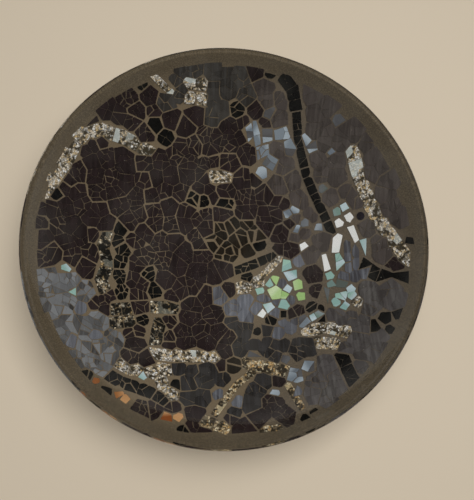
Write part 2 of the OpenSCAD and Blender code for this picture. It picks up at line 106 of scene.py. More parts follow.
# Least cosine between an inner face of a tessera and the way to the middle of the wall's sphere
LEAST_FACING = 0.9


def wall_sphere():
    """Height of the middle and radius of the sphere that the inside of the wall is part of."""
    span = LIP_R + HEEL_R
    fix = ((LIP_X**2 - BASE_R**2 + LIP_Z**2 - HEEL_Z**2) / span - LIP_R + HEEL_R) / 2
    lean = (HEEL_Z - LIP_Z) / span
    square = 1 - lean**2
    line = HEEL_Z + (fix - HEEL_R) * lean
    fixed = BASE_R**2 + HEEL_Z**2 - (fix - HEEL_R) ** 2
    height = (line + math.sqrt(line**2 - square * fixed)) / square
    return height, fix + lean * height


WALL_Z, WALL_R = wall_sphere()
WALL_MIDDLE = Vector((0, 0, WALL_Z))
TURN_A = math.asin(BASE_R / (WALL_R - HEEL_R))
LIP_A = math.atan2(LIP_X, WALL_Z - LIP_Z)
GROUT_A = LIP_A - BARE_LIP / (WALL_R + BED_OUT)


def bed_under(point):
    """The place on the bed nearest to a point, and the direction from there into the bowl."""
    r = math.hypot(point.x, point.y)
    around = Vector((point.x / r, point.y / r, 0)) if r > 0 else Vector((1, 0, 0))
    out = BED_OUT + BED_GAP
    if r < BASE_R:
        return Vector((point.x, point.y, FLOOR_Z - out)), Vector((0, 0, 1))
    middle, radius = around * BASE_R + Vector((0, 0, HEEL_Z)), HEEL_R
    if math.atan2(r, WALL_Z - point.z) > TURN_A:
        middle, radius = WALL_MIDDLE, WALL_R
    inwards = (middle - point).normalized()
    return middle - inwards * (radius + out), inwards


def only(piece):
    """Selects one piece alone and makes it the active one."""
    bpy.ops.object.select_all(action="DESELECT")
    piece.select_set(True)
    bpy.context.view_layer.objects.active = piece
    return piece


def apply_modifier(piece, kind, **settings):
    """Adds a modifier with its settings and applies it."""
    only(piece)
    modifier = piece.modifiers.new(kind.title(), kind)
    for name, value in settings.items():
        setattr(modifier, name, value)
    bpy.ops.object.modifier_apply(modifier=modifier.name)


def arc(middle, radius, start, end):
    """Points of an arc in the XZ plane; the angles are counted from straight down towards +X."""
    steps = max(LEAST_ARC_STEPS, round(radius * abs(end - start) / ARC_STEP))
    turns = [start + (end - start) * i / steps for i in range(steps + 1)]
    return [Vector((middle[0] + radius * math.sin(a), 0, middle[1] - radius * math.cos(a))) for a in turns]


def layer_line(out, end_a):
    """The inside of the bowl, moved outwards, from the axis to a slope near the lip."""
    floor = [Vector((0, 0, FLOOR_Z - out))]
    heel = arc((BASE_R, HEEL_Z), HEEL_R + out, 0, TURN_A)
    wall = arc((0, WALL_Z), WALL_R + out, TURN_A, end_a)
    return floor + heel + wall[1:]


def lathe(name, outline):
    """Draws an outline point by point from one vertex and spins it round the bowl's axis."""
    bpy.ops.object.select_all(action="DESELECT")
    bpy.ops.mesh.primitive_plane_add(size=MM)
    piece = bpy.context.active_object
    piece.name = piece.data.name = name
    bpy.ops.object.mode_set(mode="EDIT")
    bpy.ops.mesh.select_all(action="SELECT")
    bpy.ops.mesh.merge(type="CENTER")
    bpy.ops.transform.translate(value=outline[0])
    for start, end in zip(outline, outline[1:]):
        bpy.ops.mesh.extrude_region_move(TRANSFORM_OT_translate={"value": end - start})
    bpy.ops.mesh.select_all(action="SELECT")
    bpy.ops.mesh.spin(steps=LATHE_STEPS, angle=2 * math.pi, center=(0, 0, 0), axis=(0, 0, 1))
    bpy.ops.mesh.select_all(action="SELECT")
    bpy.ops.mesh.remove_doubles(threshold=WELD)
    bpy.ops.mesh.normals_make_consistent(inside=False)
    bpy.ops.object.mode_set(mode="OBJECT")
    return piece


def finish_piece(piece, slot, *nodes):
    """Puts a piece at the origin, on the bowl, in place of the CAD nodes that it stands for."""
    only(piece)
    bpy.ops.object.transform_apply(location=True, rotation=True, scale=True)
    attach(piece, "root")
    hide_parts(*nodes)
    return piece


def linear(hex_colour):
    """A colour from its sRGB hex value, as the linear values that the shaders take."""
    parts = [int(hex_colour[i:i + 2], 16) / 255 for i in (1, 3, 5)]
    return (*[c / 12.92 if c <= 0.04045 else ((c + 0.055) / 1.055) ** 2.4 for c in parts], 1)


# Sockets of the Mix node for colours, which share their names with other sockets
FACTOR, COLOUR_A, COLOUR_B, COLOUR_OUT = 0, 6, 7, 2


def add(tree, kind, inputs=None, **settings):
    """Adds a node with its settings, and with its inputs' values or the sockets that feed them."""
    node = tree.nodes.new("ShaderNode" + kind)
    for name, value in settings.items():
        setattr(node, name, value)
    for key, value in (inputs or {}).items():
        if isinstance(value, bpy.types.NodeSocket):
            tree.links.new(value, node.inputs[key])
        else:
            node.inputs[key].default_value = value
    return node


def new_material(name):
    """An empty node material: its tree and its output."""
    material = bpy.data.materials.new(name)
    material.use_nodes = True
    tree = material.node_tree
    tree.nodes.clear()
    return material, tree, add(tree, "OutputMaterial")


def polished_soda_lime_glass():
    """Moulded and polished soda-lime glass: clear, faintly grey-green, a little wavy in its reflections."""
    material, tree, output = new_material("polished_soda_lime_glass")
    place = add(tree, "TexCoord").outputs["Object"]
    # Waves about 40 mm long and at most 0.25 mm high, left by the mould
    wave = add(tree, "TexNoise", {"Vector": place, "Scale": 1 / (40 * MM), "Detail": 1.0})
    bump = add(tree, "Bump", {"Height": wave.outputs["Fac"], "Strength": 0.5, "Distance": 0.25 * MM})
    body = add(tree, "BsdfPrincipled", {
        "Base Color": linear("#fafaf8"), "Roughness": 0.015, "IOR": 1.5, "Transmission Weight": 1.0,
        "Normal": bump.outputs["Normal"],
    })
    # Lamps shine through the glass without the bright patterns of bent light
    path = add(tree, "LightPath")
    through = add(tree, "Math", {0: path.outputs["Is Shadow Ray"], 1: path.outputs["Is Diffuse Ray"]},
                  operation="MAXIMUM")
    clear = add(tree, "BsdfTransparent", {"Color": linear("#f6f6f4")})
    mix = add(tree, "MixShader", {0: through.outputs[0], 1: body.outputs[0], 2: clear.outputs[0]})
    tree.links.new(mix.outputs[0], output.inputs["Surface"])
    return material


def bonded_glass_face():
    """The back of the glass where the adhesive wets it: light passes straight on, with no reflection."""
    material, tree, output = new_material("bonded_glass_face")
    place = add(tree, "TexCoord").outputs["Object"]
    cloud = add(tree, "TexNoise", {"Vector": place, "Scale": 1 / (30 * MM), "Detail": 2.0})
    tint = add(tree, "Mix", {
        FACTOR: cloud.outputs["Fac"], COLOUR_A: linear("#fefefe"), COLOUR_B: linear("#f8f8f7"),
    }, data_type="RGBA")
    clear = add(tree, "BsdfTransparent", {"Color": tint.outputs[COLOUR_OUT]})
    tree.links.new(clear.outputs[0], output.inputs["Surface"])
    return material


def cured_clear_adhesive():
    """Clear adhesive, spread by hand: almost invisible, with faint milky patches."""
    material, tree, output = new_material("cured_clear_adhesive")
    place = add(tree, "TexCoord").outputs["Object"]
    cloud = add(tree, "TexNoise", {"Vector": place, "Scale": 1 / (25 * MM), "Detail": 3.0})
    milk = add(tree, "MapRange", {
        "Value": cloud.outputs["Fac"], "From Min": 0.45, "From Max": 0.75, "To Min": 0.003, "To Max": 0.02,
    })
    body = add(tree, "BsdfPrincipled", {
        "Base Color": linear("#d8d4c8"), "Roughness": 0.6, "IOR": 1.05, "Alpha": milk.outputs[0],
    })
    tree.links.new(body.outputs[0], output.inputs["Surface"])
    return material


def sanded_cement_grout():
    """Sanded cement grout, wiped by hand: matt brown-grey, with grains of sand and cloudy patches."""
    material, tree, output = new_material("sanded_cement_grout")
    place = add(tree, "TexCoord").outputs["Object"]
    cloud = add(tree, "TexNoise", {"Vector": place, "Scale": 1 / (18 * MM), "Detail": 4.0})
    grain = add(tree, "TexNoise", {"Vector": place, "Scale": 1 / (0.9 * MM), "Detail": 3.0})
    tone = add(tree, "Mix", {
        FACTOR: cloud.outputs["Fac"], COLOUR_A: linear("#6b5c49"), COLOUR_B: linear("#82725c"),
    }, data_type="RGBA")
    # On the right it is greyer, and nearly as dark as the glass beside it
    at = add(tree, "SeparateXYZ", {0: place})
    grey_share = add(tree, "MapRange", {
        "Value": at.outputs["X"], "From Min": 5 * MM, "From Max": 60 * MM, "To Min": 0.0, "To Max": 0.75,
    }, interpolation_type="SMOOTHSTEP")
    greyed = add(tree, "Mix", {
        FACTOR: grey_share.outputs[0], COLOUR_A: tone.outputs[COLOUR_OUT], COLOUR_B: linear("#585049"),
    }, data_type="RGBA")
    # Painted shade: the band under the rim, on the steep wall that gets less light from above, is painted
    # darker
    band = add(tree, "MapRange", {
        "Value": at.outputs["Z"], "From Min": 50 * MM, "From Max": 66 * MM, "To Min": 0.0, "To Max": 0.8,
    }, interpolation_type="SMOOTHSTEP")
    wiped = add(tree, "Mix", {
        FACTOR: band.outputs[0], COLOUR_A: greyed.outputs[COLOUR_OUT], COLOUR_B: linear("#494135"),
    }, data_type="RGBA")
    sand_share = add(tree, "MapRange", {
        "Value": grain.outputs["Fac"], "From Min": 0.4, "From Max": 0.7, "To Min": 0.0, "To Max": 0.45,
    })
    sand = add(tree, "Mix", {
        FACTOR: sand_share.outputs[0], COLOUR_A: wiped.outputs[COLOUR_OUT], COLOUR_B: linear("#8d7e66"),
    }, data_type="RGBA")
    bump = add(tree, "Bump", {"Height": grain.outputs["Fac"], "Strength": 0.5, "Distance": 0.15 * MM})
    body = add(tree, "BsdfPrincipled", {
        "Base Color": sand.outputs[COLOUR_OUT], "Roughness": 0.85, "IOR": 1.3,
        "Normal": bump.outputs["Normal"],
    })
    tree.links.new(body.outputs[0], output.inputs["Surface"])
    return material


def crackled_glass(name, dark, light, reflected_streak, reflected_streak_share=0.5, roughness=0.3):
    """Tempered sheet glass broken into crumbs: each crumb has its own tone, with fine drawn streaks painted
    pale as reflections of light, and seeds, some of them painted pale as glints.
    """
    material, tree, output = new_material(name)
    shard = add(tree, "Attribute", attribute_name="shard")
    parts = add(tree, "SeparateXYZ", {0: shard.outputs["Vector"]})
    place = add(tree, "TexCoord").outputs["Object"]
    # Painted reflection: pale streaks run along Y, about 2 mm wide and 25 mm long, as light reflects off the
    # ripples of the drawn sheet
    drawn = add(tree, "Mapping", {"Vector": place, "Scale": (1 / (2 * MM), 1 / (25 * MM), 1 / (25 * MM))})
    lines = add(tree, "TexNoise", {"Vector": drawn.outputs[0], "Scale": 1.0, "Detail": 3.0})
    tone = add(tree, "Mix", {
        FACTOR: parts.outputs["X"], COLOUR_A: linear(dark), COLOUR_B: linear(light),
    }, data_type="RGBA")
    line_share = add(tree, "MapRange", {
        "Value": lines.outputs["Fac"], "From Min": 0.45, "From Max": 0.7,
        "To Min": 0.0, "To Max": reflected_streak_share,
    })
    reflection_streaked = add(tree, "Mix", {
        FACTOR: line_share.outputs[0], COLOUR_A: tone.outputs[COLOUR_OUT], COLOUR_B: linear(reflected_streak),
    }, data_type="RGBA")
    # Seeds: bubbles about 0.6 mm wide in the glass, one every 6 mm or so; some are dark, and some are painted
    # pale as glints where they catch the light
    seeds = add(tree, "TexVoronoi", {"Vector": place, "Scale": 1 / (6 * MM)})
    seed_share = add(tree, "MapRange", {
        "Value": seeds.outputs["Distance"], "From Min": 0.04, "From Max": 0.07, "To Min": 0.7, "To Max": 0.0,
    })
    seed = add(tree, "SeparateXYZ", {0: seeds.outputs["Color"]})
    glint_share = add(tree, "MapRange", {
        "Value": seed.outputs["X"], "From Min": 0.6, "From Max": 0.65, "To Min": 0.0, "To Max": 1.0,
    })
    bubble_and_glint = add(tree, "Mix", {
        FACTOR: glint_share.outputs[0], COLOUR_A: linear("#0c090a"), COLOUR_B: linear("#a39d92"),
    }, data_type="RGBA")
    colour = add(tree, "Mix", {
        FACTOR: seed_share.outputs[0], COLOUR_A: reflection_streaked.outputs[COLOUR_OUT],
        COLOUR_B: bubble_and_glint.outputs[COLOUR_OUT],
    }, data_type="RGBA")
    body = add(tree, "BsdfPrincipled", {
        "Base Color": colour.outputs[COLOUR_OUT], "Roughness": roughness, "IOR": 1.3,
    })
    tree.links.new(body.outputs[0], output.inputs["Surface"])
    return material


# The left swoosh dulls into its tail between these places along X
TAIL_START = -100 * MM
TAIL_END = -90 * MM
# Width of a fleck of the leaf
FLECK = 1.6 * MM


def foil_backed_glass(name, bright, warm, deep, plate, glint_from=0.0, tail_fade=0.0):
    """Clear glass over crumpled metal leaf: flecks about 1.6 mm wide, a few of them painted very bright as
    glints, with painted light and shade in its folds and creases.
    """
    material, tree, output = new_material(name)
    shard = add(tree, "Attribute", attribute_name="shard")
    parts = add(tree, "SeparateXYZ", {0: shard.outputs["Vector"]})
    place = add(tree, "TexCoord").outputs["Object"]
    # Wrinkles in the leaf bend the flecks by up to 1.2 mm
    wrinkle = add(tree, "TexNoise", {"Vector": place, "Scale": 1 / (2.2 * MM), "Detail": 2.0})
    bend = add(tree, "VectorMath", {0: wrinkle.outputs["Color"], 1: (2.4 * MM,) * 3, 2: place},
               operation="MULTIPLY_ADD")
    bent = bend.outputs[0]
    cells = add(tree, "TexVoronoi", {"Vector": bent, "Scale": 1 / FLECK})
    fleck = add(tree, "SeparateXYZ", {0: cells.outputs["Color"]})
    leaf = add(tree, "Mix", {
        FACTOR: fleck.outputs["Y"], COLOUR_A: linear(bright), COLOUR_B: linear(warm),
    }, data_type="RGBA")
    # Painted light and shade: the leaf is painted brighter in some folds, about 6 mm apart, and under some
    # crumbs, than in others
    folds = add(tree, "TexNoise", {"Vector": place, "Scale": 1 / (6 * MM), "Detail": 2.0})
    shade = add(tree, "MapRange", {
        "Value": folds.outputs["Fac"], "From Min": 0.35, "From Max": 0.65, "To Min": -0.35, "To Max": 0.35,
    })
    laid = add(tree, "MapRange", {
        "Value": parts.outputs["X"], "From Min": 0.0, "From Max": 1.0, "To Min": -0.2, "To Max": 0.2,
    })
    shaded = add(tree, "Math", {0: shade.outputs[0], 1: laid.outputs[0]}, operation="ADD")
    # Dulls the tail, where there is one
    at = add(tree, "SeparateXYZ", {0: place})
    faded = add(tree, "MapRange", {
        "Value": at.outputs["X"], "From Min": TAIL_START, "From Max": TAIL_END,
        "To Min": 0.0, "To Max": tail_fade,
    })
    dulled = add(tree, "Math", {0: shaded.outputs[0], 1: faded.outputs[0]}, operation="SUBTRACT")
    # Painted glints: the flecks that pass the threshold are painted up to the leaf's bright colours as glints
    # of light, and the rest stay near the dark one
    caught = add(tree, "Math", {0: fleck.outputs["X"], 1: dulled.outputs[0]}, operation="ADD")
    rise = add(tree, "MapRange", {
        "Value": caught.outputs[0], "From Min": glint_from, "From Max": glint_from + 0.65,
        "To Min": 0.0, "To Max": 1.0,
    })
    shine = add(tree, "Math", {0: rise.outputs[0], 1: 1.4}, operation="POWER")
    foil = add(tree, "Mix", {
        FACTOR: shine.outputs[0], COLOUR_A: linear(deep), COLOUR_B: leaf.outputs[COLOUR_OUT],
    }, data_type="RGBA")
    # Painted shade in the creases between the flecks
    edges = add(tree, "TexVoronoi", {"Vector": bent, "Scale": 1 / FLECK}, feature="DISTANCE_TO_EDGE")
    crease_shade = add(tree, "MapRange", {
        "Value": edges.outputs["Distance"], "From Min": 0.0, "From Max": 0.16, "To Min": 0.8, "To Max": 0.0,
    })
    crease_shaded = add(tree, "Mix", {
        FACTOR: crease_shade.outputs[0], COLOUR_A: foil.outputs[COLOUR_OUT], COLOUR_B: linear(deep),
    }, data_type="RGBA")
    # One crumb in twenty lies over smooth leaf
    smooth = add(tree, "MapRange", {
        "Value": parts.outputs["Z"], "From Min": 0.94, "From Max": 0.96, "To Min": 0.0, "To Max": 0.65,
    })
    colour = add(tree, "Mix", {
        FACTOR: smooth.outputs[0], COLOUR_A: crease_shaded.outputs[COLOUR_OUT], COLOUR_B: linear(plate),
    }, data_type="RGBA")
    bump = add(tree, "Bump", {"Height": cells.outputs["Distance"], "Strength": 0.5, "Distance": 0.3 * MM})
    body = add(tree, "BsdfPrincipled", {
        "Base Color": colour.outputs[COLOUR_OUT], "Roughness": 0.4, "Normal": bump.outputs["Normal"],
    })
    tree.links.new(body.outputs[0], output.inputs["Surface"])
    return material


def iridised_glass(name, first, second, edge, turned_away_from=1.0):
    """Sheet glass with a fumed metallic skin: the colour drifts across each chip and from chip to chip, and
    some chips are painted dark as shade.
    """
    material, tree, output = new_material(name)
    shard = add(tree, "Attribute", attribute_name="shard")
    parts = add(tree, "SeparateXYZ", {0: shard.outputs["Vector"]})
    place = add(tree, "TexCoord").outputs["Object"]
    # Each chip's colour drifts its own way, over about 20 mm
    way = add(tree, "VectorMath", {0: shard.outputs["Vector"], 1: (0.5, 0.5, 0.5)}, operation="SUBTRACT")
    along = add(tree, "VectorMath", {0: way.outputs[0], 1: place}, operation="DOT_PRODUCT")
    turns = add(tree, "Math", {0: along.outputs["Value"], 1: 1 / (1.5 * MM)}, operation="MULTIPLY")
    wave = add(tree, "Math", {0: turns.outputs[0]}, operation="SINE")
    drift = add(tree, "MapRange", {
        "Value": wave.outputs[0], "From Min": -0.4, "From Max": 1.0, "To Min": 0.0, "To Max": 0.9,
    })
    hue = add(tree, "Mix", {
        FACTOR: parts.outputs["Y"], COLOUR_A: linear(first), COLOUR_B: linear(second),
    }, data_type="RGBA")
    skin = add(tree, "Mix", {
        FACTOR: drift.outputs[0], COLOUR_A: hue.outputs[COLOUR_OUT], COLOUR_B: linear(edge),
    }, data_type="RGBA")
    # Painted shade: some chips are painted dark, as a chip turned away from the light shows the dark glass
    # under its skin
    turned_away_shade = add(tree, "MapRange", {
        "Value": parts.outputs["Z"], "From Min": turned_away_from, "From Max": turned_away_from + 0.1,
        "To Min": 0.0, "To Max": 0.85,
    })
    colour = add(tree, "Mix", {
        FACTOR: turned_away_shade.outputs[0], COLOUR_A: skin.outputs[COLOUR_OUT], COLOUR_B: linear("#4a4341"),
    }, data_type="RGBA")
    body = add(tree, "BsdfPrincipled", {
        "Base Color": colour.outputs[COLOUR_OUT], "Roughness": 0.2, "IOR": 1.5,
    })
    tree.links.new(body.outputs[0], output.inputs["Surface"])
    return material


def area(outline):
    """Area of a flat outline."""
    return abs(sum(p.cross(q) for p, q in zip(outline, outline[1:] + outline[:1]))) / 2


def cut(outline, way, limit):
    """The part of a convex outline on the near side of a line."""
    kept = []
    for p, q in zip(outline, outline[1:] + outline[:1]):
        p_room, q_room = limit - way.dot(p), limit - way.dot(q)
        if p_room >= 0:
            kept.append(p)
        if p_room * q_room < 0:
            kept.append(p + (q - p) * (p_room / (p_room - q_room)))
    return kept


def grown(outline, amount):
    """A convex outline, moved outwards by an amount."""
    bigger = []
    for before, p, after in zip(outline[-1:] + outline[:-1], outline, outline[1:] + outline[:1]):
        into, out = (p - before).normalized(), (after - p).normalized()
        side = Vector((into.y + out.y, -into.x - out.x))
        bigger.append(p + side * (amount / max(0.5, 1 + into.dot(out))))
    return bigger


def spread_seeds(outline, count, rng):
    """Random points in an outline, each the best of several tries at keeping away from the others."""
    lows = [min(p[i] for p in outline) for i in (0, 1)]
    highs = [max(p[i] for p in outline) for i in (0, 1)]
    sides = list(zip(outline, outline[1:] + outline[:1]))
    seeds = []
    while len(seeds) < count:
        tries = []
        while len(tries) < SEED_TRIES:
            p = Vector((rng.uniform(lows[0], highs[0]), rng.uniform(lows[1], highs[1])))
            if all((b - a).cross(p - a) >= 0 for a, b in sides):
                tries.append(p)
        seeds.append(max(tries, key=lambda p: min(((p - s).length for s in seeds), default=0)))
    return seeds


def crumble(outline, size, crack, rng):
    """Breaks a tessera's outline into crumbs of about a size, with cracks between them."""
    least = LEAST_CRUMB**2
    size = size * rng.uniform(*SIZE_SPREAD)
    crack = crack * rng.uniform(*CRACK_SPREAD)
    seeds = spread_seeds(outline, max(1, round(area(outline) / size**2)), rng)
    # The crumbs are a little longer one way than the other
    turn = rng.uniform(0, math.pi)
    long_way = Vector((math.cos(turn), math.sin(turn)))
    stretch = rng.uniform(LEAST_STRETCH, 1)
    half_cracks = {
        frozenset((i, j)): crack * rng.uniform(*HALF_CRACK_SHARE)
        for i in range(len(seeds)) for j in range(i)
    }
    crumbs = []
    for i, p in enumerate(seeds):
        crumb = outline
        for j, q in enumerate(seeds):
            if j == i or len(crumb) < 3:
                continue
            way = q - p
            way = way - long_way * way.dot(long_way) * (1 - stretch)
            way.normalize()
            crumb = cut(crumb, way, way.dot((p + q) / 2) - half_cracks[frozenset((i, j))])
        if len(crumb) >= 3 and area(crumb) > least:
            crumbs.append(crumb)
    return crumbs


def soften(crumb, rounding, rng):
    """Rounds the corners of a crumb's outline and lets its long edges waver."""
    softened = []
    count = len(crumb)
    for i, p in enumerate(crumb):
        before, after = crumb[i - 1] - p, crumb[(i + 1) % count] - p
        for side in (before, after):
            share = rounding * rng.uniform(*ROUNDING_SPREAD) / side.length
            softened.append(p + side * min(MOST_ROUNDED, share))
        if after.length > WAVER_SPAN:
            across = Vector((-after.y, after.x)).normalized()
            softened.append(p + after / 2 + across * rng.uniform(-CRUMB_WAVER, CRUMB_WAVER))
    return softened


def angular(outline, rng):
    """The outline of a shard: a few of a rounder outline's points, so that its edges are straight."""
    kept, turned = [], 0
    limit = rng.uniform(*SHARD_TURN)
    for before, p, after in zip(outline[-1:] + outline[:-1], outline, outline[1:] + outline[:1]):
        turned += abs((p - before).angle_signed(after - p))
        if turned >= limit:
            kept.append(p)
            turned, limit = 0, rng.uniform(*SHARD_TURN)
    return kept if len(kept) >= 3 else outline


def tesserae_of(node):
    """The inner face of each tessera of a CAD node: its middle, its two directions and its outline."""
    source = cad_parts[node]
    copy = bpy.data.objects.new("tesserae_source", source.data.copy())
    bpy.context.scene.collection.objects.link(copy)
    only(copy)
    bpy.ops.object.mode_set(mode="EDIT")
    bpy.ops.mesh.select_all(action="SELECT")
    bpy.ops.mesh.remove_doubles(threshold=WELD)
    bpy.ops.mesh.dissolve_limited(angle_limit=FLAT_ANGLE)
    bpy.ops.object.mode_set(mode="OBJECT")
    found = []
    for face in copy.data.polygons:
        inwards = (WALL_MIDDLE - face.center).normalized()
        if face.normal.dot(inwards) < LEAST_FACING:
            continue
        right = (Vector((1, 0, 0)) - face.normal * face.normal.x).normalized()
        back = face.normal.cross(right)
        corners = [copy.data.vertices[i].co - face.center for i in face.vertices]
        outline = [Vector((c.dot(right), c.dot(back))) for c in corners]
        found.append((face.center.copy(), right, back, outline))
    bpy.data.objects.remove(copy)
    return found


def mosaic(node, slot, material, size, crack, tilt, rounding, seed):
    """Breaks every tessera of a node into crumbs of glass and gives them thickness and soft edges."""
    rng = random.Random(seed)
    growth = SHARD_GROWTH if tilt > CRUMB_TILT else CRUMB_GROWTH
    corners, faces, values = [], [], []
    for middle, right, back, outline in tesserae_of(node):
        if tilt > SHARD_TILT:
            outline = angular(outline, rng)
        for crumb in crumble(grown(outline, growth), size, crack, rng):
            centre = sum(crumb, Vector((0, 0))) / len(crumb)
            bed, inwards = bed_under(middle + right * centre.x + back * centre.y)
            lean = Vector((rng.uniform(-tilt, tilt), rng.uniform(-tilt, tilt)))
            drop = max(lean.dot(p - centre) for p in crumb)
            first = len(corners)
            shard = (rng.random(), rng.random(), rng.random())
            for p in soften(crumb, rounding, rng):
                flat = middle + right * p.x + back * p.y
                depth = (bed - flat).dot(inwards) - (drop - lean.dot(p - centre))
                corners.append(flat + inwards * depth)
                values.append(shard)
            faces.append(list(range(first, len(corners))))
    mesh = bpy.data.meshes.new(node + "_crumbs")
    mesh.from_pydata(corners, [], faces)
    shards = mesh.attributes.new("shard", "FLOAT_VECTOR", "POINT")
    shards.data.foreach_set("vector", [v for value in values for v in value])
    piece = bpy.data.objects.new(node + "_crumbs", mesh)
    bpy.context.scene.collection.objects.link(piece)
    mesh.materials.append(material)
    apply_modifier(piece, "SOLIDIFY", thickness=TESSERA, offset=-1)
    apply_modifier(piece, "BEVEL", width=CRUMB_BEVEL, segments=1, limit_method="ANGLE")
    return finish_piece(piece, slot, node)


def make_glass(polished, bonded):
    """The clear blank. Where the adhesive wets its back, light passes straight on."""
    inside = layer_line(0, LIP_A)
    lip = arc((LIP_X, LIP_Z), LIP_R, LIP_A + math.pi, LIP_A)[1:-1]
    outside = layer_line(GLASS, LIP_A)[::-1]
    piece = lathe("clear_glass_blank", inside + lip + outside)
    piece.data.materials.append(polished)
    piece.data.materials.append(bonded)
    for face in piece.data.polygons:
        at = face.center
        r = math.hypot(at.x, at.y)
        a = math.atan2(r, WALL_Z - at.z)
        face.material_index = int(a < GROUT_A and face.normal.z < 0)
        face.use_smooth = True
    return finish_piece(piece, "clear_glass", "glass_bowl")


def make_film(material):
    """The film of adhesive, a little clear of the glass and of the bed."""
    near, far = GLASS + FILM_CLEARANCE, BED_OUT - FILM_CLEARANCE
    piece = lathe("clear_adhesive_film", layer_line(near, GROUT_A) + layer_line(far, GROUT_A)[::-1])
    piece.data.materials.append(material)
    for face in piece.data.polygons:
        face.use_smooth = True
    return finish_piece(piece, "clear_adhesive", "adhesive_film")


def make_grout(material):
    """Grout between the crumbs, as one lathed body that the crumbs are set into."""
    near = BED_OUT + GROUT_BEHIND
    edge_r = (GROUT_OUT - near) / 2
    edge_mid = WALL_R + near + edge_r
    inside = layer_line(near, GROUT_A)
    middle = (edge_mid * math.sin(GROUT_A), WALL_Z - edge_mid * math.cos(GROUT_A))
    edge = arc(middle, edge_r, GROUT_A + math.pi, GROUT_A)[1:-1]
    outside = layer_line(GROUT_OUT, GROUT_A)[::-1][:-1]
    foot = [Vector((BASE_R, 0, 0)), Vector((0, 0, 0))]
    piece = lathe("grout_body", inside + edge + outside + foot)
    piece.data.materials.append(material)
    only(piece)
    bpy.ops.object.shade_smooth_by_angle(angle=SMOOTH_ANGLE)
    return finish_piece(piece, "brown_grey_grout", "grout")


aubergine = crackled_glass("aubergine_crackled_glass", "#1c1213", "#281c1d", "#35292b")
umber = crackled_glass("umber_crackled_glass", "#0f0a05", "#1f170d", "#2c2217")
grey_smoke = crackled_glass("grey_smoke_crackled_glass", "#35312f", "#85878b", "#96999e", 0.25)
dim_smoke = crackled_glass("dim_smoke_crackled_glass", "#221f1e", "#3b3837", "#48474a")
back_smoke = crackled_glass("back_smoke_crackled_glass", "#2a2623", "#433f3b", "#535251")
mauve_smoke = crackled_glass("mauve_smoke_crackled_glass", "#3a3534", "#585353", "#74716f")
# Painted light: the glass on the right is painted a paler mauve, standing for daylight shining through the
# translucent dark glass there
mauve = crackled_glass("backlit_mauve_crackled_glass", "#3d3633", "#524a47", "#625a56", 0.6)
lilac = crackled_glass("lilac_drawn_glass", "#444247", "#6c6e77", "#a0a6b1", 0.4, 0.2)
black = crackled_glass("black_crackled_glass", "#000000", "#030303", "#080706", 0.5, 0.2)
silver = foil_backed_glass("silver_leaf_glass", "#ffffff", "#e3c48c", "#40382a", "#e4ecea", 0.08)
tailed_silver = foil_backed_glass(
    "tailed_silver_leaf_glass", "#ffffff", "#e3c48c", "#40382a", "#e4ecea", 0.08, 0.25
)
dark_silver = foil_backed_glass("dark_silver_leaf_glass", "#f6eedb", "#cfae78", "#12100c", "#77766c", 0.5)
gold = foil_backed_glass("gold_leaf_glass", "#fff3d4", "#dbae6b", "#332b1f", "#d9c8a2", 0.2)
# Painted highlights: these chips are painted plain white, standing for flashes of light reflected off their
# faces
mirror = iridised_glass("painted_white_flash_glass", "#ffffff", "#ffffff", "#f6faf9")
mint = iridised_glass("mint_iridised_glass", "#a6cdbf", "#94bab8", "#cfe0ea", 0.8)
green = iridised_glass("green_iridised_glass", "#a8cf83", "#bcdb98", "#dcedc4")
ice_blue = iridised_glass("ice_blue_iridised_glass", "#747e8a", "#8d98a3", "#b9c6d2", 0.75)
amber = iridised_glass("amber_fused_glass", "#8e4a1d", "#c08650", "#dca874")
violet = crackled_glass("dark_violet_domed_glass", "#120c18", "#1c1424", "#241a2c", 0.5, 0.1)

make_glass(polished_soda_lime_glass(), bonded_glass_face())
make_film(cured_clear_adhesive())
make_grout(sanded_cement_grout())

